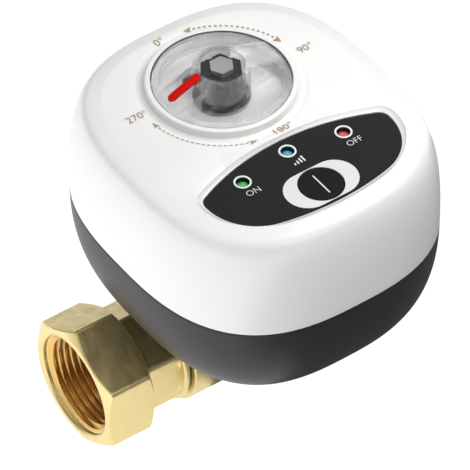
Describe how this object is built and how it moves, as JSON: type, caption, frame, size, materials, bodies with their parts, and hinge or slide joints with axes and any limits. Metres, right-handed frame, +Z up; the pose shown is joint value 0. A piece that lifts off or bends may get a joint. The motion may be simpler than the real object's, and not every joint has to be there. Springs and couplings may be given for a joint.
{
  "type": "motorised ball valve",
  "caption": "Motorised ball valve for a water pipe: brass body with hexagonal threaded ends, two-tone rounded housing, clear hand dial with a pointer, and a panel with lamps and a push button.",
  "frame": {"origin": "centre of the inlet's mouth, on the pipe's axis", "axes": "+X with the water from the inlet to the outlet, +Z up to the dial, +Y to the back with the power inlet"},
  "size_m": [0.092, 0.0896, 0.1037],
  "materials": {
    "brass": "machined",
    "steel": "turned",
    "spring_steel": "rolled",
    "magnet": "plated",
    "dark_plastic": "fine grain",
    "white_plastic": "semi-gloss",
    "gear_plastic": "moulded",
    "slip_plastic": "turned",
    "rubber": "moulded",
    "black_plastic": "moulded",
    "panel_plastic": "satin",
    "clear_plastic": "clear, polished",
    "red_plastic": "gloss",
    "grey_plastic": "fine grain",
    "bezel_white": "gloss",
    "lamp_green": "clear gloss",
    "lamp_blue": "clear gloss",
    "lamp_red": "clear gloss",
    "circuit_board": "lacquered"
  },
  "bodies": {
    "valve": {"valve_body": "brass", "inlet_connector": "brass", "body_seal": "rubber", "seat_inlet": "slip_plastic", "seat_outlet": "slip_plastic", "thrust_washer": "slip_plastic", "pad_screws": "steel", "lower_shell": "dark_plastic", "upper_shell": "white_plastic", "shell_gasket": "rubber", "housing_screws": "steel", "gearbox_base": "black_plastic", "gearbox_cover": "black_plastic", "gearbox_screws": "steel", "gear_pins": "steel", "motor_can": "steel", "motor_end_cap": "black_plastic", "motor_screws": "steel", "sensor_board": "circuit_board", "dial_seal": "rubber", "control_panel": "panel_plastic", "button_surround": "grey_plastic", "lamp_bezels": "bezel_white", "lamp_green": "lamp_green", "lamp_blue": "lamp_blue", "lamp_red": "lamp_red", "tact_switch": "black_plastic", "control_board": "circuit_board", "board_screws": "steel", "radio_module": "steel", "power_jack": "black_plastic", "jack_nut": "steel"},
    "output": {"output_gear": "gear_plastic", "gear_magnet": "magnet"},
    "spindle": {"ball": "magnet", "valve_stem": "brass", "stem_rings": "rubber", "drive_sleeve": "steel", "clutch_washer": "slip_plastic", "clutch_spring": "spring_steel", "sleeve_clip": "spring_steel", "dial_spindle": "steel", "knob_insert": "black_plastic", "knob": "clear_plastic", "pointer": "red_plastic"},
    "gear_1": {"reduction_gear_1": "gear_plastic"},
    "gear_2": {"reduction_gear_2": "gear_plastic"},
    "rotor": {"motor_pinion": "brass", "motor_shaft": "steel"},
    "button": {"button_cap": "black_plastic", "switch_plunger": "grey_plastic"}
  },
  "joints": [
    {"name": "valve_drive", "type": "hinge", "parent": "valve", "child": "output", "pos_m": [0.046, 0, 0], "axis": [0, 0, -1], "range_deg": [0, 90]},
    {"name": "manual_turn", "type": "hinge", "parent": "output", "child": "spindle", "pos_m": [0.046, 0, 0], "axis": [0, 0, -1], "range_deg": [-90, 90]},
    {"name": "gear_1_turn", "type": "hinge", "parent": "valve", "child": "gear_1", "pos_m": [0.03712, -0.01903, 0], "axis": [0, 0, -1], "range_deg": [-360, 0]},
    {"name": "gear_2_turn", "type": "hinge", "parent": "valve", "child": "gear_2", "pos_m": [0.05291, -0.02478, 0], "axis": [0, 0, -1], "range_deg": [0, 1080]},
    {"name": "motor_turn", "type": "hinge", "parent": "valve", "child": "rotor", "pos_m": [0.04451, -0.03933, 0], "axis": [0, 0, -1], "range_deg": [-3240, 0]},
    {"name": "button_press", "type": "slide", "parent": "valve", "child": "button", "axis": [0, 0, -1], "range_m": [0, 0.0008], "stiffness_N_per_m": 600, "springref_m": -0.0005}
  ],
  "couplings": [
    {"joint": "gear_1_turn", "follows": "valve_drive", "ratio": -4},
    {"joint": "gear_2_turn", "follows": "valve_drive", "ratio": 12},
    {"joint": "motor_turn", "follows": "valve_drive", "ratio": -36}
  ]
}
